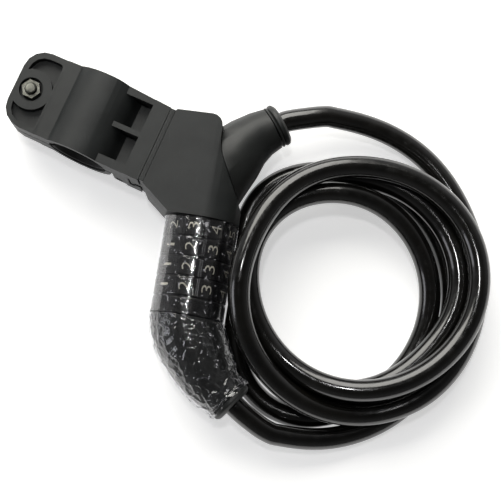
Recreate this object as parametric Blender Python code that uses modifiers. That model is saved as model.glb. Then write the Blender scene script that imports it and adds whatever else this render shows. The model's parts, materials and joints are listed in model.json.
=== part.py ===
"""Coiled cable lock: four-dial combination head, plug, spiral of sheathed steel cable, seat-post bracket."""
import math

import bmesh
import bpy
from mathutils import Vector

MM = 0.001

# Driving dimensions in millimetres, angles in degrees.
GAP = 0.3                      # clearance between neighbouring pieces
CABLE_DIAMETER = 10.0
AXIS_HEIGHT = 17.4             # lock axis and clamp axis above the surface the lock lies on

LOCK_ORIGIN = (21.63, -12.0)     # middle of the dial stack
LOCK_TURN = -9.0               # lock axis against +Y
BRACKET_ORIGIN = (-25.3, 53.6)    # centre of the clamp bore
BRACKET_TURN = -24.0

DIAL_COUNT = 4
DIAL_PITCH = 9.0
DIAL_WIDTH = 8.6
DIAL_RADIUS = 16.6
DIAL_BORE = 11.4
CAM_RADIUS = 11.1
CAM_BORE = 8.3
GATE_WIDTH = 3.4
GATE_RADIUS = 9.8
STACK_HALF = DIAL_COUNT * DIAL_PITCH / 2

BARREL_RADIUS = 8.0
BARREL_BORE = 5.0
BARREL_TOP = 36.0
BARREL_FLANGE_RADIUS = 11.0
BARREL_SLOT = 3.4
PIN_RADIUS = 4.6
TOOTH_WIDTH = 2.8
TOOTH_LENGTH = 3.2

COLLAR_RADIUS = 16.75
COLLAR_END = -25.9             # parting line between collar and plug boot
BOOT_GAP = 0.4
BARREL_END = COLLAR_END + 0.5
CLIP_GROOVE = (BARREL_END + 1.2, BARREL_END + 2.5)
FILM_THICKNESS = 0.35

SHELL_HALF = 16.9              # half thickness of the head shell and radius of its neck
SHELL_FOOT = STACK_HALF + 0.5
SHELL_FOOT_HALF = 16.6         # half width of the head where it meets the dials, on the bracket's side
EDGE_BEVEL = 1.0
SHELL_LOW = -21.0              # the head's outer low corner, along the bracket's seam

BRACKET_HALF = 19.0            # half width of the bracket along the clamp axis
CLAMP_OUTER = 17.2
CLAMP_BORE = 14.25
LINER_THICKNESS = 1.4
SPLIT_HALF = 0.6               # half gap between the clamp's two halves
FLANGE_END = -38.6
FLANGE_TOP = 9.0
FLANGE_INNER = -19.5
SCREW_B = -30.8                # clamp screw, along the bracket
BAR_START, BAR_END = 24.1, 31.9
BAR_HALF_HEIGHT = 14.0
PIN_B, PIN_Z = 20.5, -8.6      # strap hinge
RAIL_FACE = 34.6
SHELL_SEAM = 34.9

COIL_CENTRE = (95.0, -24.8)
COIL_INNER, COIL_OUTER, COIL_HEIGHT = 31.0, 56.6, 29.0

# Centrelines of the two moulded elbows: across, along, radius in the lock's own frame.
PLUG_BOOT_PATH = [
    (0.0, -21.4, 16.3), (0.0, -26.1, 16.3), (1.2, -30.8, 16.2), (3.7, -35.8, 15.8), (7.1, -41.0, 15.0),
    (11.4, -47.0, 13.7), (16.0, -52.4, 12.2), (20.2, -56.0, 10.7), (23.6, -58.4, 9.8),
]
PLUG_BOOT_HEADING = -36.0
FIXED_BOOT_PATH = [
    (-2.0, 29.1, 16.2), (0.6, 35.6, 16.2), (4.4, 43.5, 16.0), (9.2, 50.9, 14.9),
    (14.6, 58.1, 12.6), (20.0, 63.1, 11.0), (25.2, 66.7, 9.9),
]
FIXED_BOOT_HEADING = 38.0
RING_LENGTH = 4.6
RING_RADIUS = 10.1
FERRULE_RADIUS = 6.0
FERRULE_LENGTH = 15.0

# Cable from the fixed boot to the coil, and from the coil to the plug boot: world x, y, height.
LEAD_ROUTE = [
    (69.9, 54.7, 16.4), (82.1, 56.4, 14.2), (93.8, 56.0, 11.0), (104.6, 53.4, 8.4),
    (114.8, 49.4, 6.6), (124.0, 43.7, 5.4), (131.7, 37.0, 5.0), (138.5, 28.6, 5.0),
]
TAIL_ROUTE = [
    (45.0, -82.0, 15.9), (53.8, -88.2, 13.2), (65.0, -92.1, 10.2), (77.2, -93.4, 7.4), (88.8, -91.8, 5.6),
    (97.6, -88.7, 5.0),
]

parts = None
cutters = None


def clear_scene():
    for item in list(bpy.data.objects):
        bpy.data.objects.remove(item, do_unlink=True)


def new_collection(name):
    group = bpy.data.collections.new(name)
    bpy.context.scene.collection.children.link(group)
    return group


def material(name, colour, roughness, metallic=0.0):
    result = bpy.data.materials.new(name)
    result.use_nodes = True
    shader = result.node_tree.nodes["Principled BSDF"]
    shader.inputs["Base Color"].default_value = (*colour, 1.0)
    shader.inputs["Roughness"].default_value = roughness
    shader.inputs["Metallic"].default_value = metallic
    return result


def local_frame(name, origin, turn):
    """An empty on the lock's or the clamp's axis, with +Y along that axis."""
    empty = bpy.data.objects.new(name, None)
    parts.objects.link(empty)
    empty.location = (origin[0] * MM, origin[1] * MM, AXIS_HEIGHT * MM)
    empty.rotation_euler = (0, 0, math.radians(turn))
    return empty


def add_object(name, data, parent, finish, rotation=(0, 0, 0), location=(0, 0, 0)):
    item = bpy.data.objects.new(name, data)
    (parts if finish else cutters).objects.link(item)
    item.parent = parent
    item.location = Vector(location) * MM
    item.rotation_euler = [math.radians(angle) for angle in rotation]
    if finish:
        data.materials.append(finish)
    else:
        item.hide_render = True
        item.display_type = "WIRE"
    return item


def mesh_from(bm, name, smooth_angle=35):
    mesh = bpy.data.meshes.new(name)
    bmesh.ops.recalc_face_normals(bm, faces=bm.faces)
    bm.to_mesh(mesh)
    bm.free()
    mesh.shade_smooth()
    mesh.set_sharp_from_angle(angle=math.radians(smooth_angle))
    return mesh


def as_mesh(curve_object):
    """Replace a curve object by its mesh, with the end caps welded on, so that it can be cut."""
    bpy.context.view_layer.update()
    evaluated = curve_object.evaluated_get(bpy.context.evaluated_depsgraph_get())
    mesh = bpy.data.meshes.new_from_object(evaluated)
    bm = bmesh.new()
    bm.from_mesh(mesh)
    bmesh.ops.remove_doubles(bm, verts=bm.verts, dist=1e-6)
    bm.to_mesh(mesh)
    bm.free()
    mesh.shade_smooth()
    mesh.set_sharp_from_angle(angle=math.radians(35))
    name = curve_object.name
    result = bpy.data.objects.new(name + "_mesh", mesh)
    for group in curve_object.users_collection:
        group.objects.link(result)
    result.parent = curve_object.parent
    result.location = curve_object.location
    result.rotation_euler = curve_object.rotation_euler
    result.hide_render = curve_object.hide_render
    result.display_type = curve_object.display_type
    bpy.data.objects.remove(curve_object, do_unlink=True)
    result.name = name
    return result


def plate(name, outline, low, high, parent, finish=None, rotation=(0, 0, 0)):
    """A flat outline in the parent's plane, extruded from low to high."""
    curve = bpy.data.curves.new(name, "CURVE")
    curve.dimensions = "2D"
    curve.fill_mode = "BOTH"
    curve.extrude = (high - low) / 2 * MM
    spline = curve.splines.new("POLY")
    spline.points.add(len(outline) - 1)
    spline.use_cyclic_u = True
    for point, (x, y) in zip(spline.points, outline):
        point.co = (x * MM, y * MM, 0, 1)
    middle = (low + high) / 2
    location = (0, -middle, 0) if rotation[0] == 90 else (0, 0, middle)
    return as_mesh(add_object(name, curve, parent, finish, rotation, location))


def side_plate(name, outline, low, high, parent, finish=None):
    """An outline in the parent's XZ plane, extruded along its Y from low to high."""
    return plate(name, outline, -high, -low, parent, finish, rotation=(90, 0, 0))


def block(name, low, high, parent, finish=None):
    bm = bmesh.new()
    bmesh.ops.create_cube(bm, size=1.0)
    size = [(b - a) * MM for a, b in zip(low, high)]
    centre = Vector([(a + b) / 2 * MM for a, b in zip(low, high)])
    bmesh.ops.scale(bm, vec=size, verts=bm.verts)
    bmesh.ops.translate(bm, vec=centre, verts=bm.verts)
    return add_object(name, mesh_from(bm, name), parent, finish)


def turned(name, profile, parent, finish=None, rotation=(-90, 0, 0), location=(0, 0, 0), steps=32):
    """A turned piece: (radius, height) points, down the outer side and, on a ring, up the inner side."""
    ring = min(radius for radius, _ in profile) > 0
    count = len(profile)
    edges = [(i, (i + 1) % count) for i in range(count if ring else count - 1)]
    mesh = bpy.data.meshes.new(name)
    mesh.from_pydata([(radius * MM, 0, height * MM) for radius, height in profile], edges, [])
    item = add_object(name, mesh, parent, finish, rotation, location)
    screw = item.modifiers.new("turn", "SCREW")
    screw.axis = "Z"
    screw.steps = screw.render_steps = steps
    screw.use_merge_vertices = True
    screw.merge_threshold = 0.00001
    screw.use_smooth_shade = True
    return item


def tube_profile(outer, inner, low, high, chamfer=0.0):
    """Profile of a plain ring, with its outer edges chamfered."""
    if chamfer:
        outside = [(outer - chamfer, high), (outer, high - chamfer), (outer, low + chamfer),
                   (outer - chamfer, low)]
    else:
        outside = [(outer, high), (outer, low)]
    return outside + [(inner, low), (inner, high)]


def rod_profile(radius, low, high, chamfer=0.0):
    return [(0, high), (radius - chamfer, high), (radius, high - chamfer), (radius, low + chamfer),
            (radius - chamfer, low), (0, low)] if chamfer else [(0, high), (radius, high), (radius, low), (0, low)]


def catmull(points, steps):
    """A smooth curve through the given points, steps to each span; extra values are carried along."""
    padded = [tuple(2 * a - b for a, b in zip(points[0], points[1]))] + list(points)
    padded.append(tuple(2 * a - b for a, b in zip(points[-1], points[-2])))
    result = []
    for i in range(1, len(padded) - 2):
        for k in range(steps):
            t = k / steps
            result.append(tuple(
                0.5 * (2 * p1 + (p2 - p0) * t + (2 * p0 - 5 * p1 + 4 * p2 - p3) * t * t
                       + (3 * p1 - p0 - 3 * p2 + p3) * t ** 3)
                for p0, p1, p2, p3 in zip(*padded[i - 1:i + 3])))
    result.append(tuple(points[-1]))
    return result


def swept(name, path, parent, finish=None, resolution=6, grow=0.0):
    """A round tube along (x, y, z, radius) points."""
    curve = bpy.data.curves.new(name, "CURVE")
    curve.dimensions = "3D"
    curve.bevel_depth = MM
    curve.bevel_resolution = resolution
    curve.use_fill_caps = True
    spline = curve.splines.new("POLY")
    spline.points.add(len(path) - 1)
    for point, (x, y, z, radius) in zip(spline.points, path):
        point.co = (x * MM, y * MM, z * MM, 1)
        point.radius = radius + grow
    return add_object(name, curve, parent, finish)


def combine(target, operation, *others):
    for other in others:
        boolean = target.modifiers.new(operation.lower(), "BOOLEAN")
        boolean.operation = operation
        boolean.object = other
        boolean.solver = "EXACT"


def cut(target, *others):
    combine(target, "DIFFERENCE", *others)


def join(target, *others):
    combine(target, "UNION", *others)


def rounded(corners, steps=4):
    """Outline from (x, y, corner radius), each corner an arc."""
    outline = []
    count = len(corners)
    for i, (x, y, radius) in enumerate(corners):
        here = Vector((x, y))
        if radius == 0:
            outline.append((x, y))
            continue
        before = (Vector(corners[i - 1][:2]) - here).normalized()
        after = (Vector(corners[(i + 1) % count][:2]) - here).normalized()
        half = before.angle(after) / 2
        reach = radius / math.tan(half)
        centre = here + (before + after).normalized() * radius / math.sin(half)
        start = (here + before * reach - centre)
        turn = start.angle_signed(here + after * reach - centre)
        first = math.atan2(start.y, start.x)
        for k in range(steps + 1):
            angle = first - turn * k / steps
            outline.append((centre.x + radius * math.cos(angle), centre.y + radius * math.sin(angle)))
    return outline


def arc(radius, start, end, steps):
    return [(radius * math.cos(math.radians(start + (end - start) * k / steps)),
             radius * math.sin(math.radians(start + (end - start) * k / steps))) for k in range(steps + 1)]


def to_world(x, y, origin, turn):
    c, s = math.cos(math.radians(turn)), math.sin(math.radians(turn))
    return origin[0] + x * c - y * s, origin[1] + x * s + y * c


def bracket_to_lock(b, c):
    """A point of the bracket's frame, in the lock's frame."""
    x, y = to_world(b, c, BRACKET_ORIGIN, BRACKET_TURN)
    return to_world(x - LOCK_ORIGIN[0], y - LOCK_ORIGIN[1], (0, 0), -LOCK_TURN)


def boot_frame(name, path, heading, lock):
    """An empty at a boot's cable end, with +X along the cable."""
    empty = bpy.data.objects.new(name, None)
    parts.objects.link(empty)
    empty.parent = lock
    empty.location = (path[-1][0] * MM, path[-1][1] * MM, 0)
    empty.rotation_euler = (0, 0, math.radians(heading))
    return empty


def shell_outline(grow=0.0):
    """Plan of the head: the seam to the bracket, the wing, the line where the boot leaves it, the neck."""
    top, low = bracket_to_lock(SHELL_SEAM, 17.0), bracket_to_lock(SHELL_SEAM, SHELL_LOW)
    return rounded([
        (*top, 1.0), (3.0 + grow, 65.5, 5.0), (3.2 + grow, 50.5, 25.0),
        (17.1 + grow, 24.6, 8.0), (17.1 + grow, SHELL_FOOT, 0), (-SHELL_FOOT_HALF, SHELL_FOOT, 0),
        (*low, 1.5)])


def lower_edge_frame(lock):
    """An empty at the head's outer low corner, with +Y along the long edge towards the dials, and its length."""
    low = Vector(bracket_to_lock(SHELL_SEAM, SHELL_LOW))
    foot = Vector((-SHELL_FOOT_HALF, SHELL_FOOT))
    empty = bpy.data.objects.new("lower_edge_frame", None)
    parts.objects.link(empty)
    empty.parent = lock
    empty.location = (low.x * MM, low.y * MM, 0)
    ahead = foot - low
    empty.rotation_euler = (0, 0, math.atan2(-ahead.x, ahead.y))
    return empty, ahead.length


def add_head(lock, bracket, plastic, steel):
    halves = []
    for name, low, high in (("head_shell_top", GAP / 2, SHELL_HALF + 1), ("head_shell_bottom", -SHELL_HALF - 1, -GAP / 2)):
        half = plate(name, shell_outline(), low, high, lock, plastic)
        halves.append(half)
    neck_form = side_plate("shell_form", [(-60, -SHELL_HALF + 1.2), (-58.8, -SHELL_HALF)]
                           + arc(SHELL_HALF, -90, 90, 18) + [(-58.8, SHELL_HALF), (-60, SHELL_HALF - 1.2)],
                           0, 80, lock)
    barrel_room = turned("barrel_room", [
        (0, BARREL_TOP + GAP), (BARREL_RADIUS + GAP, BARREL_TOP + GAP), (BARREL_RADIUS + GAP, 27.0 + GAP),
        (BARREL_FLANGE_RADIUS + GAP, 27.0 + GAP), (BARREL_FLANGE_RADIUS + GAP, 24.0 - GAP),
        (BARREL_RADIUS + GAP, 24.0 - GAP), (BARREL_RADIUS + GAP, 20.9), (12.0, 20.9), (12.0, 15.0), (0, 15.0)],
        lock, steps=24)
    wing_room = plate("wing_room", rounded([(-22.5, 43, 2), (-18.5, 57, 2), (-11, 57, 2), (-11, 43, 2)]),
                      -13.5, 13.5, lock)
    rail_room = block("rail_room", (RAIL_FACE - 1, -12.5, -5.4), (39.5, 12.5, 5.4), bracket)
    edge, edge_length = lower_edge_frame(lock)
    bevel = side_plate("edge_bevel", [(-EDGE_BEVEL - 0.13, 18), (0, 8), (6, 8), (6, 18)], -8, edge_length + 8, edge)
    for half in halves:
        combine(half, "INTERSECT", neck_form)
        cut(half, barrel_room, wing_room, rail_room, bevel)
    for index, (x, y) in enumerate(((-4.5, 58.5), (-13.6, 34.0)), 1):
        room = turned(f"shell_screw_room_{index}", [
            (0, 9.0), (1.6 + GAP, 9.0), (1.6 + GAP, -10.5), (3.0 + GAP, -10.5), (3.0 + GAP, -20), (0, -20)],
            lock, rotation=(0, 0, 0), location=(x, y, 0), steps=16)
        turned(f"shell_screw_{index}", [
            (0, 8.0), (0.8, 8.0), (1.6, 6.8), (1.6, -11.0), (3.0, -11.0), (3.0, -12.6), (2.2, -13.3), (0, -13.3)],
            lock, steel, rotation=(0, 0, 0), location=(x, y, 0), steps=16)
        for half in halves:
            cut(half, room)


def add_core(lock, zinc, steel):
    """The die-cast barrel that carries the dials, its retaining clip and the spring under the dials."""
    barrel = turned("lock_barrel", [
        (BARREL_RADIUS, BARREL_TOP), (BARREL_RADIUS, 27.0), (BARREL_FLANGE_RADIUS, 27.0),
        (BARREL_FLANGE_RADIUS, 24.0), (BARREL_RADIUS, 24.0), (BARREL_RADIUS, CLIP_GROOVE[1]), (7.0, CLIP_GROOVE[1]),
        (7.0, CLIP_GROOVE[0]), (BARREL_RADIUS, CLIP_GROOVE[0]), (BARREL_RADIUS, BARREL_END), (BARREL_BORE, BARREL_END),
        (BARREL_BORE, BARREL_TOP)], lock, zinc, steps=24)
    slot = block("barrel_slot", (-BARREL_SLOT / 2, -30, 3), (BARREL_SLOT / 2, 21, 12), lock)
    cut(barrel, slot)
    turned("spring_washer", tube_profile(11.5, 8.5, SHELL_FOOT + 0.1, SHELL_FOOT + 1.2), lock, steel, steps=24)
    clip = turned("barrel_clip", tube_profile(9.6, 7.3, CLIP_GROOVE[0] + GAP, CLIP_GROOVE[1] - GAP), lock, steel, steps=24)
    cut(clip, block("clip_mouth", (-2.5, CLIP_GROOVE[0] - 1, 0), (2.5, CLIP_GROOVE[1] + 1, 12), lock))


def add_dials(lock, dial_plastic, zinc):
    for index in range(DIAL_COUNT):
        centre = STACK_HALF - DIAL_PITCH * (index + 0.5)
        half = DIAL_WIDTH / 2
        turned(f"dial_{index + 1}", tube_profile(DIAL_RADIUS, DIAL_BORE, -half, half, 0.6), lock, dial_plastic,
               location=(0, centre, 0))
        cam = turned(f"dial_cam_{index + 1}", [
            (CAM_RADIUS, half - 0.2), (CAM_RADIUS, -half + 0.2), (CAM_BORE, -half + 0.2), (CAM_BORE, 0.3),
            (GATE_RADIUS, 0.3), (GATE_RADIUS, half - 0.2)], lock, zinc, location=(0, centre, 0), steps=24)
        gate = block(f"cam_gate_{index + 1}", (-GATE_WIDTH / 2, centre - half - 1, 5),
                     (GATE_WIDTH / 2, centre + half + 1, GATE_RADIUS), lock)
        cut(cam, gate)


def add_collar(lock, plastic):
    turned("end_collar", [
        (COLLAR_RADIUS - 0.6, -STACK_HALF - 0.3), (COLLAR_RADIUS, -STACK_HALF - 0.9), (COLLAR_RADIUS, COLLAR_END + 0.4),
        (COLLAR_RADIUS - 0.4, COLLAR_END), (10.2, COLLAR_END), (10.2, CLIP_GROOVE[1] + 0.7),
        (BARREL_RADIUS + GAP, CLIP_GROOVE[1] + 0.7), (BARREL_RADIUS + GAP, -STACK_HALF - 0.3)], lock, plastic)


def boot_points(path):
    return [(x, y, 0.0, radius) for x, y, radius in path]


def add_boot(prefix, path, heading, lock, rubber, zinc):
    """A moulded elbow with a grooved end ring, and the crimped ferrule in its cable end."""
    end = boot_frame(f"{prefix}_end", path, heading, lock)
    boot = as_mesh(swept(f"{prefix}_boot", boot_points(path), lock, rubber))
    bore = turned(f"{prefix}_bore", rod_profile(FERRULE_RADIUS + GAP, -FERRULE_LENGTH - GAP, 5), end,
                  rotation=(0, 90, 0), steps=24)
    trim = block(f"{prefix}_trim", (0, -20, -20), (20, 20, 20), end)
    cut(boot, trim, bore)
    turned(f"{prefix}_boot_ring", [
        (RING_RADIUS - 1.5, RING_LENGTH + GAP), (RING_RADIUS, RING_LENGTH + GAP - 1.2), (RING_RADIUS, GAP + 1.7),
        (RING_RADIUS - 0.7, GAP + 1.5), (RING_RADIUS - 0.7, GAP + 1.1), (RING_RADIUS - 0.1, GAP + 0.9),
        (RING_RADIUS - 0.1, GAP + 0.3), (RING_RADIUS - 0.4, GAP), (CABLE_DIAMETER / 2 + 0.4, GAP), (CABLE_DIAMETER / 2 + 0.4, RING_LENGTH + GAP)],
        end, rubber, rotation=(0, 90, 0), steps=24)
    turned(f"{prefix}_ferrule", rod_profile(FERRULE_RADIUS, -FERRULE_LENGTH, -0.2, 0.5), end, zinc,
           rotation=(0, 90, 0), steps=20)
    return boot


def add_plug(lock, rubber, zinc, steel):
    boot = add_boot("plug", PLUG_BOOT_PATH, PLUG_BOOT_HEADING, lock, rubber, zinc)
    face = block("plug_face_trim", (-30, COLLAR_END - BOOT_GAP, -30), (30, 0, 30), lock)
    seat = turned("plug_pin_seat", rod_profile(8.0 + GAP, COLLAR_END - 5.6, COLLAR_END + 1), lock, steps=24)
    cut(boot, face, seat)
    pin = turned("plug_pin", [
        (0, 20.0), (PIN_RADIUS - 1.5, 20.0), (PIN_RADIUS, 18.0), (PIN_RADIUS, COLLAR_END - 0.6),
        (8.0, COLLAR_END - 0.6), (8.0, COLLAR_END - 5.0), (0, COLLAR_END - 5.0)], lock, steel, steps=24)
    for index in range(DIAL_COUNT):
        top = STACK_HALF - DIAL_PITCH * index - 0.9
        join(pin, block(f"pin_tooth_{index + 1}", (-TOOTH_WIDTH / 2, top - TOOTH_LENGTH, 2),
                        (TOOTH_WIDTH / 2, top, BARREL_RADIUS - 0.1), lock))


def add_fixed_boot(lock, rubber, zinc):
    boot = add_boot("fixed", FIXED_BOOT_PATH, FIXED_BOOT_HEADING, lock, rubber, zinc)
    keep_out = plate("fixed_boot_keep_out", shell_outline(GAP), -40, 40, lock)
    cut(boot, keep_out, block("fixed_boot_foot_trim", (-40, 0, -40), (40, SHELL_FOOT + 4, 40), lock))


def add_film(lock, film):
    """Clear shrink film round the dials and collar, and a second length round the plug boot."""
    turned("film_body", tube_profile(AXIS_HEIGHT, AXIS_HEIGHT - FILM_THICKNESS, COLLAR_END, STACK_HALF), lock, film)
    path = boot_points(PLUG_BOOT_PATH)
    sleeve = as_mesh(swept("film_boot", path, lock, film, grow=GAP + FILM_THICKNESS))
    hollow = as_mesh(swept("film_boot_hollow", path, lock, grow=GAP))
    ends = [block("film_top_trim", (-30, COLLAR_END - BOOT_GAP, -30), (30, 0, 30), lock)]
    end = boot_frame("film_end", PLUG_BOOT_PATH, PLUG_BOOT_HEADING, lock)
    ends.append(block("film_end_trim", (-0.5, -20, -20), (20, 20, 20), end))
    cut(sleeve, hollow, *ends)


def clamp_outline(side):
    """Side view of one clamp half about the bore's centre: flange, arch, and the bore itself."""
    rise = 22.0
    outer = [(-x, z * side) for x, z in arc(CLAMP_OUTER, rise, 90, 10)]
    outer[0] = (-CLAMP_OUTER * math.cos(math.radians(38)), CLAMP_OUTER * math.sin(math.radians(38)) * side)
    flange = [(FLANGE_END, SPLIT_HALF * side), (FLANGE_END, FLANGE_TOP * side), (FLANGE_INNER - 1.5, FLANGE_TOP * side),
              (FLANGE_INNER, (FLANGE_TOP + 1.0) * side)]
    start = math.degrees(math.asin(SPLIT_HALF / CLAMP_BORE))
    bore = [(x, z * side) for x, z in arc(CLAMP_BORE, start, 180 - start, 18)]
    left = flange + [(x, z) for x, z in outer if x > -14.2]
    return left, bore


def hex_outline(across_flats):
    return arc(across_flats / math.sqrt(3), 0, 300, 5)


def add_bracket(bracket, plastic, rubber, steel):
    half = BRACKET_HALF
    left, bore = clamp_outline(1)
    right = [(x, z) for x, z in arc(CLAMP_OUTER, 90, 20, 8)][1:]
    valley = [(17.6, 4.5), (BAR_START, 4.5), (BAR_START, BAR_HALF_HEIGHT), (BAR_END, BAR_HALF_HEIGHT),
              (BAR_END, -BAR_HALF_HEIGHT), (BAR_START, -BAR_HALF_HEIGHT), (BAR_START, SPLIT_HALF)]
    arm = side_plate("bracket_arm", left + right + valley + bore, -half - 1, half + 1, bracket, plastic)
    plan = rounded([(FLANGE_END, 0.8 - half, 10), (FLANGE_END, half, 10), (6.0, half, 30), (BAR_END + 1, half - 2, 0),
                    (BAR_END + 1, -half - 0.5, 0)])
    for index, (low, high) in enumerate(((-half - 0.9, -15.1), (-1.2, 1.2), (15.0, half + 0.9)), 1):
        join(arm, block(f"arm_rib_{index}", (10.6, low, 2.5), (BAR_START + 1, high, 13.4), bracket))
    for index, side in enumerate((-1, 1), 1):
        low, high = sorted((side * 13.4, side * (half + 0.8)))
        lug = side_plate(f"arm_lug_{index}", [(17.9, 2.5), (17.9, PIN_Z), (18.5, PIN_Z - 2.0), (20.5, PIN_Z - 2.9),
                                              (BAR_START + 1, PIN_Z - 2.9), (BAR_START + 1, 2.5)], low, high, bracket)
        join(arm, lug)
    boss = turned("flange_boss", rod_profile(9.6, -2, 12), bracket, rotation=(0, 0, 0), location=(SCREW_B, 0, 0))
    pocket = plate("flange_pocket", rounded([(FLANGE_END + 2.6, -half + 2.8, 7.5), (FLANGE_END + 2.6, half - 2.8, 7.5),
                                             (FLANGE_INNER - 2.2, half - 2.8, 2), (FLANGE_INNER - 2.2, -half + 2.8, 2)]),
                   FLANGE_TOP - 4.0, 20, bracket)
    cut(pocket, boss)
    nut_seat = turned("nut_seat", rod_profile(5.6, 5.4, 20), bracket, rotation=(0, 0, 0), location=(SCREW_B, 0, 0),
                      steps=24)
    screw_hole = turned("screw_hole", rod_profile(3.2, -30, 30), bracket, rotation=(0, 0, 0),
                        location=(SCREW_B, 0, 0), steps=20)
    slot = side_plate("rail_slot", [(BAR_END + 1, -3.4), (29.0, -3.4), (29.0, -6.4), (26.2, -6.4), (26.2, 6.4), (29.0, 6.4),
                                    (29.0, 3.4), (BAR_END + 1, 3.4)], -half - 1, 14.6, bracket)
    pin_hole = side_plate("pin_hole", [(PIN_B + x, PIN_Z + z) for x, z in arc(1.5 + GAP, 0, 345, 23)], -30, 30, bracket)
    form = plate("arm_form", plan, -30, 30, bracket)
    bore_cut = side_plate("bore_cut", arc(CLAMP_BORE, 0, 350, 35), -30, 30, bracket)
    combine(arm, "INTERSECT", form)
    cut(arm, bore_cut, pocket, nut_seat, screw_hole, slot, pin_hole)

    left, bore = clamp_outline(-1)
    under = [(x, -z) for x, z in arc(CLAMP_OUTER, 90, 3, 10)][1:]
    strap = side_plate("clamp_strap", left + under + bore, -half - 1, half + 1, bracket, plastic)
    web = block("strap_web", (14.6, -13.0, PIN_Z - 2.4), (PIN_B, 13.0, PIN_Z + 2.4), bracket)
    knuckle = side_plate("strap_knuckle", [(PIN_B + x, PIN_Z + z) for x, z in arc(3.0, 0, 345, 23)], -13.0, 13.0, bracket)
    join(strap, web, knuckle)
    combine(strap, "INTERSECT", form)
    cut(strap, bore_cut, screw_hole, pin_hole)

    side_plate("strap_pin", [(PIN_B + x, PIN_Z + z) for x, z in arc(1.5, 0, 337.5, 15)], -17.6, 17.6, bracket, steel)
    for name, side in (("liner_top", 1), ("liner_bottom", -1)):
        low, high = (8, 172) if side == 1 else (188, 352)
        outline = arc(CLAMP_BORE - GAP, low, high, 18) + arc(CLAMP_BORE - GAP - LINER_THICKNESS, high, low, 18)
        side_plate(name, outline, -half + 0.9, half - 0.5, bracket, rubber)
    nut = plate("clamp_nut", hex_outline(8.0), 5.7, 9.7, bracket, steel)
    nut.location.x += SCREW_B * MM
    cut(nut, turned("nut_bore", rod_profile(2.5 + GAP, 0, 20), bracket, rotation=(0, 0, 0),
                    location=(SCREW_B, 0, 0), steps=20))
    turned("clamp_screw", [(0, 11.4), (2.0, 11.4), (2.5, 10.9), (2.5, -FLANGE_TOP - GAP), (4.3, -FLANGE_TOP - GAP),
                           (4.3, -FLANGE_TOP - 4.0), (3.9, -FLANGE_TOP - 4.5), (0, -FLANGE_TOP - 4.5)],
           bracket, steel, rotation=(0, 0, 0), location=(SCREW_B, 0, 0), steps=20)


def add_rail(bracket, plastic):
    """The T-shaped rail on the head that the bracket slides onto."""
    rail = side_plate("bracket_rail", [
        (RAIL_FACE, 14.6), (RAIL_FACE, -14.6), (BAR_END + GAP, -14.6), (BAR_END + GAP, -3.0), (28.7, -3.0),
        (28.7, -6.0), (26.5, -6.0), (26.5, 6.0), (28.7, 6.0), (28.7, 3.0), (BAR_END + GAP, 3.0),
        (BAR_END + GAP, 14.6)], -19.0, 16.8, bracket, plastic)
    nose = block("rail_nose_trim", (20, 14.2, -20), (BAR_END + GAP, 20, 20), bracket)
    tongue = block("rail_tongue", (RAIL_FACE - 1, -12.0, -5.0), (39.0, 12.0, 5.0), bracket)
    cut(rail, nose)
    join(rail, tongue)


def add_cable(sheath):
    """The coil as one turned ring, and the two free runs of cable that join it to the boots."""
    top, edge = COIL_HEIGHT, 6.0
    turned("cable_coil", [
        (COIL_OUTER - edge, top), (COIL_OUTER, top - edge), (COIL_OUTER, edge / 3), (COIL_OUTER - edge / 3, 0),
        (COIL_INNER + edge / 3, 0), (COIL_INNER, edge / 3), (COIL_INNER, top - edge), (COIL_INNER + edge, top)],
        None, sheath, rotation=(0, 0, 0), location=(*COIL_CENTRE, 0))
    radius = CABLE_DIAMETER / 2
    for name, path, heading, route in (
            ("cable_lead", FIXED_BOOT_PATH, FIXED_BOOT_HEADING, LEAD_ROUTE),
            ("cable_tail", PLUG_BOOT_PATH, PLUG_BOOT_HEADING, TAIL_ROUTE)):
        x, y = to_world(path[-1][0], path[-1][1], LOCK_ORIGIN, LOCK_TURN)
        ahead = math.radians(heading + LOCK_TURN)
        exits = [(x + reach * math.cos(ahead), y + reach * math.sin(ahead), AXIS_HEIGHT - drop)
                 for reach, drop in ((0.2, 0.0), (RING_LENGTH, 0.0), (RING_LENGTH + 2.4, 0.3))]
        points = [(*point, radius) for point in catmull(exits + route, 3)]
        swept(name, points, None, sheath, resolution=2)


def main():
    global parts, cutters
    clear_scene()
    parts = new_collection("cable_lock")
    cutters = new_collection("cutters")
    nylon = material("moulded_nylon", (0.045, 0.048, 0.047), 0.55)
    rubber = material("boot_rubber", (0.035, 0.037, 0.037), 0.4)
    dial_plastic = material("dial_plastic", (0.03, 0.031, 0.032), 0.35)
    zinc = material("zinc_alloy", (0.55, 0.56, 0.57), 0.35, 1.0)
    steel = material("dark_steel", (0.16, 0.155, 0.13), 0.4, 1.0)
    sheath = material("cable_sheath", (0.012, 0.012, 0.011), 0.12)
    film = material("clear_film", (0.8, 0.8, 0.82), 0.1)
    lock = local_frame("lock_frame", LOCK_ORIGIN, LOCK_TURN)
    bracket = local_frame("bracket_frame", BRACKET_ORIGIN, BRACKET_TURN)
    add_head(lock, bracket, nylon, steel)
    add_core(lock, zinc, steel)
    add_dials(lock, dial_plastic, zinc)
    add_collar(lock, dial_plastic)
    add_plug(lock, rubber, zinc, steel)
    add_fixed_boot(lock, rubber, zinc)
    add_film(lock, film)
    add_bracket(bracket, nylon, rubber, steel)
    add_rail(bracket, nylon)
    add_cable(sheath)


main()
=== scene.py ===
import json
import math

import bmesh
import bpy
import numpy as np
from mathutils import Matrix, Vector, noise


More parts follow.
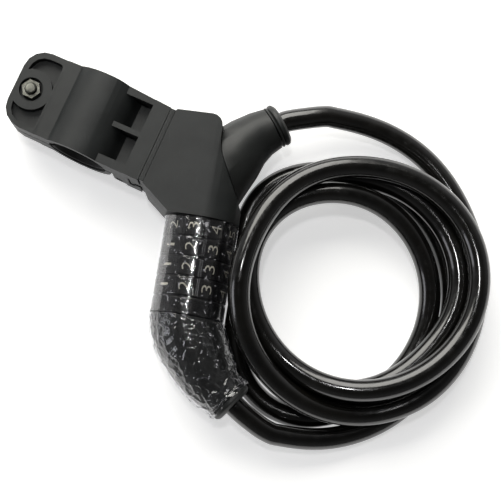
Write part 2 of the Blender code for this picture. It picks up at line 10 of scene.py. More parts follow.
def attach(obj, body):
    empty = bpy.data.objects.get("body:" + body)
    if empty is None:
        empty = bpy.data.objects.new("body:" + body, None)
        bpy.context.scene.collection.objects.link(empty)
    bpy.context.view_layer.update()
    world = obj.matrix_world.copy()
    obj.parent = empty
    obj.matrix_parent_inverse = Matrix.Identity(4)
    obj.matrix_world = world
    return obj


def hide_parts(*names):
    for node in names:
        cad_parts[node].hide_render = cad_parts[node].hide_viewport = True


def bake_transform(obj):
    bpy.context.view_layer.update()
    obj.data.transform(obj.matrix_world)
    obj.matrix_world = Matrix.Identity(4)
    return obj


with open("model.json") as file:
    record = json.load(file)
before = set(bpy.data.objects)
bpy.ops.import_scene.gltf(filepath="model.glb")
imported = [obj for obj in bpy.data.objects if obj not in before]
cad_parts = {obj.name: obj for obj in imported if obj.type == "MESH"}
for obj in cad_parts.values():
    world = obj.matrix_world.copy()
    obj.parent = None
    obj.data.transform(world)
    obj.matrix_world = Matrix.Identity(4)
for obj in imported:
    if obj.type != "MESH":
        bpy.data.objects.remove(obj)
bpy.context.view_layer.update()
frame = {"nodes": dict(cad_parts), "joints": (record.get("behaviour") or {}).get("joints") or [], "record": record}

# Everything below is in millimetres, in the row frame or in the lock's own frame
# (across, along the dials' axis, up from it).
MM = 0.001

CABLE_DIAMETER = 10.0
CABLE_SIDES = 24
STEP = 3.0                      # spacing of the cable's centreline points

DIGIT_HEIGHT = 4.8
DIGIT_WIDTH = 3.7
DIGIT_RISE = 0.05               # the printed numbers stand this far above the dial
FIRST_DIGIT_ANGLE = 8.0         # the middle number's angle from the top, towards the left
GRIP_DEPTH = 0.45
FILM_ROOM = 0.9                 # kept free round the dials for the film
CREASE_SCALE = 210.0            # film facets to the metre

PHOTO_TARGET = (46.6, -6.9, 17.4)
PHOTO_WIDTH = 227.7             # what the picture spans at the lock's axis
CAMERA_DISTANCE = 620.0
CAMERA_ELEVATION = 81.5

# The cable's route, in the row frame, as part.py has it.
COIL_CENTRE = (95.0, -24.8)
FIXED_EXIT = ((56.95, 49.94, 17.4), 29.0)       # where it leaves the boot, and its heading
PLUG_EXIT = ((35.8, -73.37, 17.4), -45.0)
LEAD_ROUTE = [
    (69.9, 54.7, 16.4), (82.1, 56.4, 14.2), (93.8, 56.0, 11.0), (104.6, 53.4, 8.4),
    (114.8, 49.4, 6.6), (124.0, 43.7, 5.4), (131.7, 37.0, 5.0), (138.5, 28.6, 5.0),
]
TAIL_ROUTE = [
    (45.0, -82.0, 15.9), (53.8, -88.2, 13.2), (65.0, -92.1, 10.2), (77.2, -93.4, 7.4), (88.8, -91.8, 5.6),
    (97.6, -88.7, 5.0),
]
# The turns, clockwise from above: angle from the right in degrees, radius, height of the centreline.
TURNS = [
    (-38, 63.2, 5), (-1, 57.8, 5), (29, 54.8, 8), (55, 57.5, 11.5), (90, 58.2, 13), (135, 57.6, 24.5),
    (171, 56, 31.4), (201, 53.4, 31.6), (223, 55, 31.4), (246, 56.9, 29), (272, 56.5, 25),
    (303, 57.9, 22.5), (330, 58.8, 21.5), (360, 56.5, 21.5), (387, 52.9, 22), (407, 50.1, 23.6),
    (427, 48.8, 24.8), (452, 48, 25.4), (483, 48.1, 21.6), (500, 48.3, 20), (520, 49.4, 20.6),
    (532, 51.1, 22), (550, 52.6, 22.4), (571, 53.8, 22.2), (588, 53.3, 22), (602, 51, 21.8),
    (613, 47.6, 21.6), (627, 45.9, 21), (642, 43.1, 19), (658, 40.8, 15.6), (674, 38, 12.8),
    (711, 35.9, 10.6), (734, 36.6, 7), (764, 39.8, 5), (784, 44.5, 5), (810, 52, 5), (832, 64.8, 5),
    (851, 69, 5), (867, 65.4, 5), (883, 59, 6), (900, 52.6, 11.4), (925, 54.2, 13), (946, 55, 13.4),
    (991, 54, 14.8), (1035, 51.8, 14.6), (1084, 48.3, 14.5), (1098, 46.4, 14.5), (1116, 43.2, 14.5),
    (1133, 43.5, 14.6), (1154, 46.3, 15), (1171, 47.7, 15), (1192, 49.9, 13.5), (1215, 54, 10),
    (1239, 57.2, 6.4), (1261, 55.2, 5), (1283, 59.6, 5), (1305, 66.8, 5), (1322, 64.6, 5),
    (1342, 58.5, 5), (1361, 54.2, 5), (1380, 51, 5), (1417, 46.8, 5), (1439, 46.4, 5),
    (1464, 47.9, 5), (1484, 50.8, 5), (1499, 55.8, 5), (1511, 59.5, 5),
]

# Middle line and radius of the plug boot, in the lock's frame.
PLUG_BOOT_PATH = [
    (0.0, -21.4, 16.3), (0.0, -26.1, 16.3), (1.2, -30.8, 16.2), (3.7, -35.8, 15.8), (7.1, -41.0, 15.0),
    (11.4, -47.0, 13.7), (16.0, -52.4, 12.2), (20.2, -56.0, 10.7), (23.6, -58.4, 9.8),
]

nodes = frame["nodes"]
joints = {j["name"]: j for j in frame["joints"]}


# ------------------------------------------------------------------ frames and shapes

def local_frame(origin, along):
    """Millimetres in a frame whose second axis is along and third axis is up, to metres in the row frame."""
    along = Vector(along).normalized()
    across = Vector((along.y, -along.x, 0.0))
    columns = [across * MM, along * MM, Vector((0, 0, MM)), Vector(origin)]
    return Matrix([[c[i] for c in columns] for i in range(3)] + [[0, 0, 0, 1]])


def span(node, place):
    """Lowest and highest corner of a CAD node in a local frame, in millimetres."""
    back = place.inverted()
    points = [back @ v.co for v in nodes[node].data.vertices]
    return (Vector([min(p[i] for p in points) for i in range(3)]),
            Vector([max(p[i] for p in points) for i in range(3)]))


dial_joints = [joints[f"dial_{i}_turn"] for i in range(1, 5)]
stack_middle = sum((Vector(j["pos_m"]) for j in dial_joints), Vector()) / 4
LOCK = local_frame(stack_middle, dial_joints[0]["axis"])


def shade(obj, angle=35.0):
    """Smooth shading that keeps edges sharper than the angle."""
    mesh = obj.data
    mesh.shade_smooth()
    mesh.set_sharp_from_angle(angle=math.radians(angle))
    return obj


def mesh_object(name, vertices, faces, angle=35.0):
    mesh = bpy.data.meshes.new(name)
    mesh.from_pydata([tuple(v) for v in vertices], [], faces)
    mesh.validate()
    obj = bpy.data.objects.new(name, mesh)
    bpy.context.scene.collection.objects.link(obj)
    return shade(obj, angle)


def loft(name, rings, angle=35.0, caps=True):
    """A skin through rings of equally many points, with a flat cap at each end if asked."""
    count = len(rings[0])
    vertices = [p for ring in rings for p in ring]
    faces = []
    for r in range(len(rings) - 1):
        for k in range(count):
            n = (k + 1) % count
            a, b = r * count, (r + 1) * count
            faces.append((a + k, a + n, b + n, b + k))
    if caps:
        faces.append(tuple(reversed(range(count))))
        faces.append(tuple(range((len(rings) - 1) * count, len(rings) * count)))
    return mesh_object(name, vertices, faces, angle)


def catmull(points, per_span):
    """A smooth curve through points, as an array."""
    p = np.array(points, float)
    p = np.vstack([2 * p[0] - p[1], p, 2 * p[-1] - p[-2]])
    out = []
    for i in range(1, len(p) - 2):
        a, b, c, d = p[i - 1:i + 3]
        for t in np.arange(per_span) / per_span:
            out.append(0.5 * (2 * b + (c - a) * t + (2 * a - 5 * b + 4 * c - d) * t * t
                              + (3 * b - a - 3 * c + d) * t ** 3))
    return np.array(out + [p[-2]])


def resample(points, step):
    """The same line with its points about step apart."""
    gaps = np.linalg.norm(np.diff(points, axis=0), axis=1)
    s = np.concatenate([[0.0], np.cumsum(gaps)])
    where = np.linspace(0, s[-1], int(round(s[-1] / step)) + 1)
    return np.stack([np.interp(where, s, points[:, i]) for i in range(points.shape[1])], axis=1)


def tube_rings(centres, radii, sides):
    """Rings round a line, turned as little as possible from one to the next."""
    tangents = np.gradient(centres, axis=0)
    tangents /= np.linalg.norm(tangents, axis=1)[:, None]
    side = np.cross(tangents[0], (0, 0, 1.0))
    side /= np.linalg.norm(side)
    rings = []
    for centre, tangent, radius in zip(centres, tangents, radii):
        side = side - tangent * (side @ tangent)
        side /= np.linalg.norm(side)
        up = np.cross(side, tangent)
        a = 2 * np.pi * np.arange(sides) / sides
        rings.append(centre + radius * (np.cos(a)[:, None] * side + np.sin(a)[:, None] * up))
    return rings


# ------------------------------------------------------------------ materials

def node_material(name):
    """A new material, its node tree and its Principled shader."""
    made = bpy.data.materials.new(name)
    made.use_nodes = True
    tree = made.node_tree
    return made, tree, tree.nodes["Principled BSDF"]


def add(tree, kind, **values):
    """A node with its properties and input values set by name."""
    made = tree.nodes.new(kind)
    for key, value in values.items():
        if hasattr(made, key):
            setattr(made, key, value)
        else:
            made.inputs[key.replace("_", " ")].default_value = value
    return made


def noise_field(tree, scale, detail=4.0, roughness=0.55, stretch=(1, 1, 1)):
    """Noise over the object's own coordinates."""
    coordinates = add(tree, "ShaderNodeTexCoord")
    mapping = add(tree, "ShaderNodeMapping")
    mapping.inputs["Scale"].default_value = stretch
    field = add(tree, "ShaderNodeTexNoise", Scale=scale, Detail=detail, Roughness=roughness)
    tree.links.new(coordinates.outputs["Object"], mapping.inputs["Vector"])
    tree.links.new(mapping.outputs["Vector"], field.inputs["Vector"])
    return field


def ramp(tree, source, stops):
    """A colour ramp from (position, colour) pairs."""
    made = add(tree, "ShaderNodeValToRGB")
    elements = made.color_ramp.elements
    while len(elements) < len(stops):
        elements.new(0.5)
    for element, (position, colour) in zip(elements, stops):
        element.position = position
        element.color = (*colour, 1.0)
    tree.links.new(source, made.inputs["Fac"])
    return made.outputs["Color"]


def grey(value):
    return (value, value, value)


def bump(tree, shader, height, strength, distance, under=None):
    """A bump on a shader's normal, on top of another bump if one is given."""
    made = add(tree, "ShaderNodeBump", Strength=strength, Distance=distance)
    tree.links.new(height, made.inputs["Height"])
    if under is not None:
        tree.links.new(under.outputs["Normal"], made.inputs["Normal"])
    tree.links.new(made.outputs["Normal"], shader.inputs["Normal"])
    return made


def moulded_plastic(name, dark, light, roughness, grain, grain_depth, specular=0.5, scratches=True):
    """Moulded plastic or rubber: blotchy colour, fine grain, a few scuffs."""
    made, tree, shader = node_material(name)
    blotch = noise_field(tree, 90.0, 5.0, 0.6)
    colour = ramp(tree, blotch.outputs["Fac"], [(0.32, dark), (0.68, light)])
    fine = noise_field(tree, grain, 3.0, 0.7)
    rough = ramp(tree, fine.outputs["Fac"], [(0.3, grey(roughness - 0.07)), (0.7, grey(roughness + 0.08))])
    if scratches:
        scuff = noise_field(tree, 900.0, 2.0, 0.5, stretch=(1.0, 0.12, 1.0))
        mask = ramp(tree, scuff.outputs["Fac"], [(0.69, grey(0.0)), (0.74, grey(0.35))])
        mixed = add(tree, "ShaderNodeMix", data_type="RGBA")
        tree.links.new(mask, mixed.inputs["Factor"])
        tree.links.new(colour, mixed.inputs[6])
        mixed.inputs[7].default_value = (*[min(1.0, c * 1.9) for c in light], 1.0)
        colour = mixed.outputs[2]
    tree.links.new(colour, shader.inputs["Base Color"])
    tree.links.new(rough, shader.inputs["Roughness"])
    shader.inputs["Specular IOR Level"].default_value = specular
    wide = bump(tree, shader, blotch.outputs["Fac"], 0.25, 0.0002)
    bump(tree, shader, fine.outputs["Fac"], 0.6, grain_depth, under=wide)
    return made


def metal(name, colour, roughness, stretch=(1, 1, 1)):
    """Plated or machined metal: fine marks, with darker, duller patches."""
    made, tree, shader = node_material(name)
    shader.inputs["Metallic"].default_value = 1.0
    patches = noise_field(tree, 350.0, 6.0, 0.65)
    dull = tuple(c * 0.5 for c in colour)
    tree.links.new(
        ramp(tree, patches.outputs["Fac"], [(0.35, dull), (0.6, colour)]), shader.inputs["Base Color"])
    marks = noise_field(tree, 2200.0, 3.0, 0.6, stretch=stretch)
    tree.links.new(
        ramp(tree, marks.outputs["Fac"], [(0.3, grey(roughness - 0.1)), (0.7, grey(roughness + 0.15))]),
        shader.inputs["Roughness"])
    bump(tree, shader, marks.outputs["Fac"], 0.35, 0.00005)
    return made


def cable_sheath():
    """Glossy black PVC over a braid, with dust and fingerprints."""
    made, tree, shader = node_material("sheath_pvc")
    haze = noise_field(tree, 60.0, 5.0, 0.6)
    tree.links.new(
        ramp(tree, haze.outputs["Fac"], [(0.3, (0.002, 0.002, 0.002)), (0.7, (0.006, 0.0055, 0.0045))]),
        shader.inputs["Base Color"])
    smear = noise_field(tree, 260.0, 4.0, 0.6)
    tree.links.new(
        ramp(tree, smear.outputs["Fac"], [(0.35, grey(0.13)), (0.7, grey(0.27))]),
        shader.inputs["Roughness"])
    shader.inputs["Specular IOR Level"].default_value = 0.6
    shader.inputs["Coat Weight"].default_value = 0.5
    shader.inputs["Coat Roughness"].default_value = 0.06
    wide = bump(tree, shader, haze.outputs["Fac"], 0.3, 0.0006)
    bump(tree, shader, smear.outputs["Fac"], 0.22, 0.00012, under=wide)
    return made


def film_plastic():
    """Clear shrink film: passes half the light and reflects sharply. Its colour is whitened along creases, partly
    real crease whitening and partly a painted glint, and lightened towards grazing angles by a painted rim sheen.
    """
    made, tree, shader = node_material("clear_film")
    bend = noise_field(tree, 300.0, 2.0, 0.5)
    place = add(tree, "ShaderNodeTexCoord")
    shifted = add(tree, "ShaderNodeMix", data_type="RGBA", blend_type="LINEAR_LIGHT")
    shifted.inputs["Factor"].default_value = 0.0022
    tree.links.new(place.outputs["Object"], shifted.inputs[6])
    tree.links.new(bend.outputs["Color"], shifted.inputs[7])
    cells = add(tree, "ShaderNodeTexVoronoi", feature="DISTANCE_TO_EDGE", Scale=CREASE_SCALE)
    tree.links.new(shifted.outputs[2], cells.inputs["Vector"])
    line = ramp(tree, cells.outputs["Distance"], [(0.0, grey(1.0)), (0.035, grey(0.75)), (0.075, grey(0.0))])
    where = noise_field(tree, 420.0, 2.0, 0.6)
    broken = ramp(tree, where.outputs["Fac"], [(0.575, grey(0.0)), (0.64, grey(0.9))])
    # Whitened crease lines in the colour: partly real crease whitening, partly a painted glint standing in for
    # highlights on the folds.
    crease_and_painted_glint = add(tree, "ShaderNodeMath", operation="MULTIPLY")
    tree.links.new(line, crease_and_painted_glint.inputs[0])
    tree.links.new(broken, crease_and_painted_glint.inputs[1])
    cloud = noise_field(tree, 160.0, 5.0, 0.65)
    haze = ramp(tree, cloud.outputs["Fac"], [(0.4, grey(0.002)), (0.8, grey(0.03))])
    # Painted rim sheen: the colour turns white and the film less clear towards grazing angles, a painted
    # reflection.
    facing = add(tree, "ShaderNodeLayerWeight", Blend=0.4)
    painted_rim_sheen = ramp(tree, facing.outputs["Facing"],
               [(0.3, grey(0.0)), (0.7, grey(0.12)), (0.9, grey(0.3)), (1.0, grey(0.6))])
    haze_and_painted_sheen = add(tree, "ShaderNodeMath", operation="ADD")
    tree.links.new(haze, haze_and_painted_sheen.inputs[0])
    tree.links.new(painted_rim_sheen, haze_and_painted_sheen.inputs[1])
    cover = add(tree, "ShaderNodeMath", operation="MAXIMUM", use_clamp=True)
    tree.links.new(haze_and_painted_sheen.outputs["Value"], cover.inputs[0])
    tree.links.new(crease_and_painted_glint.outputs["Value"], cover.inputs[1])
    # Colour and transparency come from random haze, the painted rim sheen, and the creases with their painted
    # glint.
    white = ramp(tree, cover.outputs["Value"],
                 [(0.0, grey(0.0)), (0.6, (0.17, 0.17, 0.19)), (1.0, (0.78, 0.78, 0.82))])
    passed = ramp(tree, cover.outputs["Value"],
                  [(0.0, (0.46, 0.46, 0.465)), (0.6, grey(0.02)), (1.0, grey(0.0))])
    tree.links.new(white, shader.inputs["Base Color"])
    shader.inputs["Roughness"].default_value = 0.12
    shader.inputs["Specular IOR Level"].default_value = 0.6
    shader.inputs["Coat Weight"].default_value = 0.7
    shader.inputs["Coat Roughness"].default_value = 0.05
    shader.inputs["Alpha"].default_value = 0.62
    ridge = ramp(tree, cells.outputs["Distance"], [(0.0, grey(1.0)), (0.12, grey(0.25)), (0.6, grey(0.0))])
    folded = bump(tree, shader, ridge, 0.25, 0.0003)
    bump(tree, shader, where.outputs["Fac"], 0.06, 0.0001, under=folded)
    through = add(tree, "ShaderNodeBsdfTransparent")
    tree.links.new(passed, through.inputs["Color"])
    both = add(tree, "ShaderNodeAddShader")
    tree.links.new(shader.outputs["BSDF"], both.inputs[0])
    tree.links.new(through.outputs["BSDF"], both.inputs[1])
    tree.links.new(both.outputs["Shader"], tree.nodes["Material Output"].inputs["Surface"])
    return made


def printed_ink():
    """Off-white pad-printed ink, thin in places."""
    made, tree, shader = node_material("number_ink")
    thin = noise_field(tree, 1600.0, 4.0, 0.6)
    tree.links.new(
        ramp(tree, thin.outputs["Fac"], [(0.3, (0.55, 0.53, 0.44)), (0.6, (0.80, 0.77, 0.66))]),
        shader.inputs["Base Color"])
    shader.inputs["Roughness"].default_value = 0.5
    bump(tree, shader, thin.outputs["Fac"], 0.2, 0.00005)
    return made


def floor_paper():
    """White studio paper that glows a little, like a light table."""
    made, tree, shader = node_material("studio_paper")
    tooth = noise_field(tree, 700.0, 3.0, 0.6)
    tree.links.new(
        ramp(tree, tooth.outputs["Fac"], [(0.3, grey(0.86)), (0.7, grey(0.9))]), shader.inputs["Base Color"])
    shader.inputs["Roughness"].default_value = 0.9
    shader.inputs["Specular IOR Level"].default_value = 0.1
    shader.inputs["Emission Color"].default_value = (1.0, 1.0, 1.0, 1.0)
    shader.inputs["Emission Strength"].default_value = 0.52
    return made


MATERIALS = {
    "nylon": moulded_plastic("nylon_black", (0.009, 0.0105, 0.0105), (0.016, 0.018, 0.0178),
                             0.52, 3200.0, 0.00006, specular=0.44),
    "boot": moulded_plastic("boot_elastomer", (0.007, 0.008, 0.0078), (0.014, 0.0155, 0.0145),
                            0.46, 2200.0, 0.00004),
    "dial": moulded_plastic("dial_plastic", (0.006, 0.006, 0.0065), (0.012, 0.012, 0.0125),
                            0.30, 2600.0, 0.00003),
    "zinc": metal("zinc_casting", (0.52, 0.52, 0.50), 0.42),
    "steel": metal("plated_steel", (0.58, 0.58, 0.56), 0.25),
    "fastener": metal("blackened_steel", (0.20, 0.20, 0.175), 0.38),
    "liner": moulded_plastic("liner_rubber", (0.018, 0.018, 0.018), (0.03, 0.03, 0.03), 0.7, 1500.0, 0.0001),
    "sheath": cable_sheath(),
    "film": film_plastic(),
    "ink": printed_ink(),
}


def dress(obj, body, slot_name, material=None, replaced=()):
    """Gives a new piece its material and slot, the body that it rides and the nodes that it stands for."""
    obj.data.materials.clear()
    obj.data.materials.append(MATERIALS[material or slot_name])
    if body:
        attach(obj, body)
    if replaced:
        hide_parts(*replaced)
    return obj


# ------------------------------------------------------------------ camera, light and floor

def add_camera():
    """The photo's camera: steep, a little towards the plug, with the picture's width given at the axis."""
    target = Vector(PHOTO_TARGET) * MM
    tilt = math.radians(CAMERA_ELEVATION)
    back = Vector((0, -math.cos(tilt), math.sin(tilt)))
    data = bpy.data.cameras.new("camera")
    data.sensor_width = 36.0
    data.lens = data.sensor_width * CAMERA_DISTANCE / PHOTO_WIDTH
    camera = bpy.data.objects.new("camera", data)
    bpy.context.scene.collection.objects.link(camera)
    camera.location = target + back * CAMERA_DISTANCE * MM
    camera.rotation_euler = (-back).to_track_quat("-Z", "Y").to_euler()
    bpy.context.scene.camera = camera


def add_light(name, place, size, power, colour=(1.0, 1.0, 1.0), aim=(0.045, -0.01, 0.0)):
    """A rectangular area light, in metres and watts, turned towards the lock."""
    data = bpy.data.lights.new(name, "AREA")
    data.shape = "RECTANGLE"
    data.size, data.size_y = size
    data.energy = power
    data.color = colour
    light = bpy.data.objects.new(name, data)
    bpy.context.scene.collection.objects.link(light)
    light.location = place
    light.rotation_euler = (Vector(aim) - Vector(place)).to_track_quat("-Z", "Y").to_euler()


def add_world():
    """A dim room, brighter low down and on the window's side."""
    world = bpy.data.worlds.new("studio_world")
    bpy.context.scene.world = world
    world.use_nodes = True
    tree = world.node_tree
    direction = add(tree, "ShaderNodeTexCoord")
    split = add(tree, "ShaderNodeSeparateXYZ")
    tree.links.new(direction.outputs["Generated"], split.inputs["Vector"])
    height = ramp(tree, split.outputs["Z"],
                  [(0.0, grey(0.8)), (0.45, grey(0.6)), (0.85, grey(0.2)), (1.0, grey(0.12))])
    side = ramp(tree, split.outputs["Y"], [(0.0, grey(0.35)), (0.6, grey(1.0))])
    product = add(tree, "ShaderNodeMix", data_type="RGBA", blend_type="MULTIPLY")
    product.inputs["Factor"].default_value = 1.0
    tree.links.new(height, product.inputs[6])
    tree.links.new(side, product.inputs[7])
    background = tree.nodes["Background"]
    tree.links.new(product.outputs[2], background.inputs["Color"])
    background.inputs["Strength"].default_value = 0.6


def add_studio():
    """A big soft window behind and to the left, a small overhead lamp for the glints, and a light table."""
    add_light("window", (-0.15, 0.85, 0.75), (1.1, 0.9), 15.0, colour=(1.0, 0.985, 0.93))
    add_light("lamp", (0.0, 0.14, 1.25), (0.07, 0.10), 2.2)
    add_light("fill_left", (-1.05, -0.2, 0.55), (0.5, 0.5), 2.0, colour=(0.93, 0.94, 1.0))
    add_world()
    bpy.context.scene.view_settings.view_transform = "Standard"
    half = 1.6
    floor = mesh_object("floor", [(-half, -half, -0.0003), (half, -half, -0.0003), (half, half, -0.0003),
                                  (-half, half, -0.0003)], [(0, 1, 2, 3)])
    floor.data.materials.append(floor_paper())


add_camera()
add_studio()


# ------------------------------------------------------------------ the cable

def exit_points(exit_at):
    """The straight start of the cable out of a boot."""
    (x, y, z), heading = exit_at
    a = math.radians(heading)
    return [(x + reach * math.cos(a), y + reach * math.sin(a), z - drop)
            for reach, drop in ((0.2, 0.0), (4.6, 0.0), (7.0, 0.3))]


def turn_points():
    """The coil's turns as row-frame points, from the angle, radius and height at each knot."""
    knots = np.array(TURNS, float)
    knots = np.vstack([2 * knots[0] - knots[1], knots, 2 * knots[-1] - knots[-2]])
    out = []
    for i in range(1, len(knots) - 2):
        a, b, c, d = knots[i - 1:i + 3]
        width = c[0] - b[0]
        out_slope, in_slope = (c - a) / (c[0] - a[0]) * width, (d - b) / (d[0] - b[0]) * width
        count = max(2, int(round(width / 5.0)))
        for t in np.arange(count) / count:
            out.append((2 * t ** 3 - 3 * t ** 2 + 1) * b + (t ** 3 - 2 * t ** 2 + t) * out_slope
                       + (3 * t ** 2 - 2 * t ** 3) * c + (t ** 3 - t ** 2) * in_slope)
    out = np.array(out + [knots[-2]])
    a = np.radians(out[:, 0])
    return np.stack([COIL_CENTRE[0] + out[:, 1] * np.cos(a),
                     COIL_CENTRE[1] - out[:, 1] * np.sin(a), out[:, 2]], axis=1)


def off_the_dials(line, low, high, reach):
    """How far each point has to move to lie clear of the film round the dials and collar."""
    axis = np.array((LOCK.to_3x3() @ Vector((0, 1, 0))).normalized())
    away = line - np.array(LOCK.translation) / MM
    along = away @ axis
    away -= along[:, None] * axis
    distance = np.linalg.norm(away, axis=1)
    short = np.where((along > low - 1) & (along < high + 1), np.maximum(reach - distance, 0), 0)
    return away / distance[:, None] * short[:, None]


def settle(line, rounds=400):
    """Pushes the turns apart, mostly upwards, where they would cut into each other or the lock."""
    held = 10                       # points at each end that stay in the boots' line
    near = CABLE_DIAMETER + 0.05
    line = line.copy()
    first, second = np.triu_indices(len(line), 8)
    share = np.array([0.35, 0.35, 1.0])
    low, high = span("end_collar", LOCK)[0].y, span("dial_1", LOCK)[1].y
    reach = span("dial_1", LOCK)[1].x + FILM_ROOM + CABLE_DIAMETER / 2
    for _ in range(rounds):
        gap = line[second] - line[first]
        size = np.linalg.norm(gap, axis=1)
        close = size < near
        clear = off_the_dials(line, low, high, reach)
        if not close.any() and not clear.any():
            break
        i, j = first[close], second[close]
        push = gap[close] * ((near + 0.05 - size[close]) / size[close] * 0.25)[:, None] * share
        moved, count = np.zeros_like(line), np.zeros(len(line))
        np.add.at(moved, j, push)
        np.add.at(moved, i, -push)
        np.add.at(count, i, 1)
        np.add.at(count, j, 1)
        moved /= np.maximum(count, 1)[:, None]
        for _ in range(3):
            moved[:held] = moved[-held:] = 0
            moved[1:-1] = (moved[:-2] + 2 * moved[1:-1] + moved[2:]) / 4
        line += moved * 1.5
        ease = np.zeros_like(line)
        ease[1:-1] = ((line[:-2] + line[2:]) / 2 - line[1:-1]) * 0.06
        ease[:held] = ease[-held:] = 0
        line += ease + clear * 0.7
        line[:, 2] = np.maximum(line[:, 2], CABLE_DIAMETER / 2)
    return line


def add_cable():
    """The whole cable as one cord."""
    lead = catmull(exit_points(FIXED_EXIT) + LEAD_ROUTE + [tuple(turn_points()[0])], 6)[:-1]
    tail = catmull([tuple(turn_points()[-1])] + TAIL_ROUTE[::-1] + exit_points(PLUG_EXIT)[::-1], 6)[1:]
    line = settle(resample(np.vstack([lead, turn_points(), tail]), STEP))
    fine = catmull(line, 2)
    radii = np.full(len(fine), CABLE_DIAMETER / 2 * MM)
    cable = loft("cable", tube_rings(fine * MM, radii, CABLE_SIDES), angle=60)
    dress(cable, None, "sheath")
    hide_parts("cable_coil", "cable_lead", "cable_tail")
    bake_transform(cable)


add_cable()


# ------------------------------------------------------------------ dials

def dial_ring(index):
    """A number ring: chamfered rims and ten shallow finger grips between its numbers."""
    joint = dial_joints[index]
    low, high = span(f"dial_{index + 1}", LOCK)
    radius, bore = high.x, 11.4
    chamfer = 0.5
    profile = [(bore, 0.0), (radius - chamfer - 0.5, 0.0), (radius - chamfer, 0.06),
               (radius - 0.12, chamfer * 0.75), (radius, chamfer), (radius, chamfer + 0.9)]
    width = high.y - low.y
    profile = profile + [(r, width - p) for r, p in reversed(profile)]
    sides = 200
    offset = math.radians(FIRST_DIGIT_ANGLE + 18.0)
    rings = []
    for r, position in profile + [profile[0]]:
        ring = []
        for k in range(sides):
            a = 2 * math.pi * k / sides
            tenth = abs(((a - offset) * 10 / (2 * math.pi) + 0.5) % 1.0 - 0.5)
            near = tenth / 10 * 2 * math.pi * radius
            dip = GRIP_DEPTH * max(0.0, 1 - (near / 1.3) ** 2) if r > radius - chamfer - 0.1 else 0.0
            q = r - dip
            ring.append(LOCK @ Vector((-q * math.sin(a), low.y + position, q * math.cos(a))))
        rings.append(ring)
    ring = loft(f"dial_ring_{index + 1}", rings, angle=40, caps=False)
    dress(ring, joint["child"], "dial", replaced=(f"dial_{index + 1}",))
    return low.y + width / 2, radius


def digit_mesh(digit):
    """One number as flat triangles, centred, DIGIT_WIDTH by DIGIT_HEIGHT."""
    curve = bpy.data.curves.new(f"digit_{digit}", "FONT")
    curve.body = str(digit)
    curve.offset = -0.014
    curve.resolution_u = 5
    text = bpy.data.objects.new(f"digit_{digit}", curve)
    bpy.context.scene.collection.objects.link(text)
    bpy.context.view_layer.update()
    mesh = bpy.data.meshes.new_from_object(text.evaluated_get(bpy.context.evaluated_depsgraph_get()))
    flat = bmesh.new()
    flat.from_mesh(mesh)
    for cut in np.arange(0.03, 0.8, 0.06):
        bmesh.ops.bisect_plane(flat, geom=flat.verts[:] + flat.edges[:] + flat.faces[:],
                               plane_co=(0, cut, 0), plane_no=(0, 1, 0))
    flat.verts.index_update()
    points = np.array([v.co for v in flat.verts])[:, :2]
    faces = [tuple(v.index for v in f.verts) for f in flat.faces]
    flat.free()
    bpy.data.objects.remove(text)
    bpy.data.meshes.remove(mesh)
    low, high = points.min(0), points.max(0)
    width = DIGIT_WIDTH * (0.3 if digit == 1 else 1.0)
    points = (points - (low + high) / 2) / (high - low) * (width, DIGIT_HEIGHT)
    return points, faces


def add_numbers(index, along, radius, shown):
    """The ten numbers round one dial. Their tops point left, and shown is the one in the middle."""
    vertices, faces = [], []
    for digit in range(10):
        points, shapes = digit_mesh(digit)
        middle_angle = math.radians(FIRST_DIGIT_ANGLE - 36.0 * (digit - shown))
        start = len(vertices)
        for right, up in points:
            a = middle_angle + up / radius
            r = radius + DIGIT_RISE
            vertices.append(LOCK @ Vector((-r * math.sin(a), along + right, r * math.cos(a))))
        faces += [tuple(start + k for k in shape) for shape in shapes]
    numbers = mesh_object(f"numbers_{index + 1}", vertices, faces)
    dress(numbers, dial_joints[index]["child"], "dial", material="ink")


for number, shown_digit in enumerate((3, 2, 2, 2)):
    along_axis, dial_radius = dial_ring(number)
    add_numbers(number, along_axis, dial_radius, shown_digit)


# ------------------------------------------------------------------ clear film

def crumple(point, size, depth):
    """How far the film stands off at a point: flat facets of about this size, with sharp ridges."""
    p = Vector(point) / size
    near, cells = noise.voronoi(p + Vector((0, 0, 0.3)) * noise.noise(p * 1.7))
    ridge = max(0.0, 1.0 - (near[1] - near[0]) / 0.35)
    return depth * (0.35 + 0.3 * noise.cell(cells[0] * 3.7) + 0.65 * ridge ** 1.4)


def film_sheet(name, centres, directions, radii, body, replaced, depth, size):
    """A thin closed skin round a line of (across, along) points, creased on both faces."""
    sides, thickness = 200, 0.12
    outer, inner = [], []
    for (across, along), (dx, dy), radius, d in zip(centres, directions, radii, depth):
        side = Vector((dy, -dx, 0))
        ring_out, ring_in = [], []
        for k in range(sides):
            a = 2 * math.pi * k / sides
            out = side * math.sin(a) + Vector((0, 0, math.cos(a)))
            base = Vector((across, along, 0)) + out * radius
            stand = crumple(base, size, d)
            ring_out.append(LOCK @ (base + out * (stand + thickness)))
            ring_in.append(LOCK @ (base + out * stand))
        outer.append(ring_out)
        inner.append(ring_in)
    rings = outer + inner[::-1] + [outer[0]]
    dress(loft(name, rings, angle=50, caps=False), body, "film", replaced=replaced)


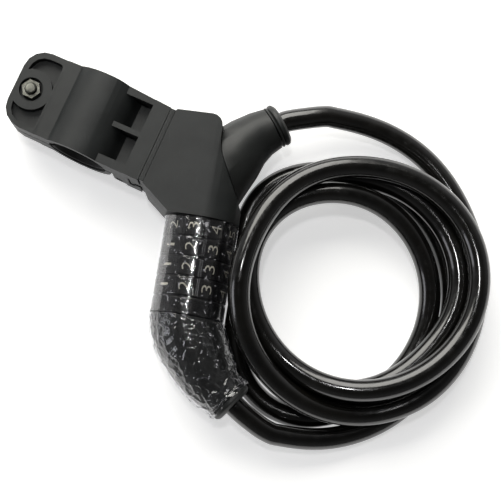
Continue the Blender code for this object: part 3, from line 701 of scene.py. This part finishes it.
def add_film():
    """The film round the dials and collar, and the length round the plug boot, cut at the plug's seam."""
    high = span("film_body", LOCK)[1]
    collar_low = span("end_collar", LOCK)[0].y
    count = 120
    alongs = np.linspace(collar_low + 0.15, high.y, count)
    gaps = [9.0, 0.0, -9.0, -18.0]
    radii = [dial_radius + 0.28 - 0.12 * max(math.exp(-((a - g) / 0.9) ** 2) for g in gaps)
             for a in alongs]
    depth = [0.09 + 0.25 * max(0.0, (-22.5 - a) / 3.4) + 0.2 * max(0.0, (a - 13.0) / 5.0)
             for a in alongs]
    film_sheet("film_sleeve", [(0.0, a) for a in alongs], [(0.0, 1.0)] * count, radii,
               "lock_head", ("film_body",), depth, 6.0)
    path = catmull(PLUG_BOOT_PATH, 12)
    path = np.vstack([(0.0, collar_low - 0.2, 16.35), path[path[:, 1] < collar_low - 0.9]])
    ahead = path[-1, :2] - path[-4, :2]
    ahead = np.append(ahead / np.linalg.norm(ahead), 0.0)
    beyond = [path[-1] + ahead * reach + (0, 0, grown) for reach, grown in
              ((0.5, 0.4), (1.0, 0.5), (1.6, 0.5), (2.1, 0.45), (2.5, 0.4))]
    path = np.vstack([path, beyond])
    centres = path[:, :2]
    directions = -np.gradient(centres, axis=0)
    square = np.clip((centres[:, 1] - collar_low + 10.0) / 10.0, 0, 1)[:, None]
    directions = directions / np.linalg.norm(directions, axis=1)[:, None] * (1 - square)
    directions += np.array((0, 1.0)) * square
    directions /= np.linalg.norm(directions, axis=1)[:, None]
    radii = path[:, 2] + 0.35
    depth = np.linspace(0.6, 0.9, len(path))
    film_sheet("film_tip", [tuple(c) for c in centres], [tuple(d) for d in directions], list(radii),
               "plug", ("film_boot",), list(depth), 4.2)


add_film()


# ------------------------------------------------------------------ carried-over CAD nodes

SOFT_EDGES = {"nylon": 0.35, "boot": 0.3, "liner": 0.15, "zinc": 0.2, "steel": 0.15, "fastener": 0.12}


def finish_nodes():
    """Every CAD node that still shows gets its slot's material and softened edges."""
    slot_of = {row["node"]: row["material_slot"] for row in frame["record"]["subparts"]}
    for name, node in nodes.items():
        if node.hide_render:
            continue
        key = slot_of[name]
        material = MATERIALS[key]
        if not node.data.materials:
            node.data.materials.append(material)
        for i in range(len(node.data.materials)):
            node.data.materials[i] = material
        weld = node.modifiers.new("weld", "WELD")
        weld.merge_threshold = 0.00002
        edge = node.modifiers.new("edge", "BEVEL")
        edge.width = SOFT_EDGES.get(key, 0.2) * MM
        edge.segments = 2
        edge.limit_method = "ANGLE"
        edge.angle_limit = math.radians(38)
        edge.use_clamp_overlap = True
        shade(node, 42)
        node.modifiers.new("normals", "WEIGHTED_NORMAL").keep_sharp = True


finish_nodes()
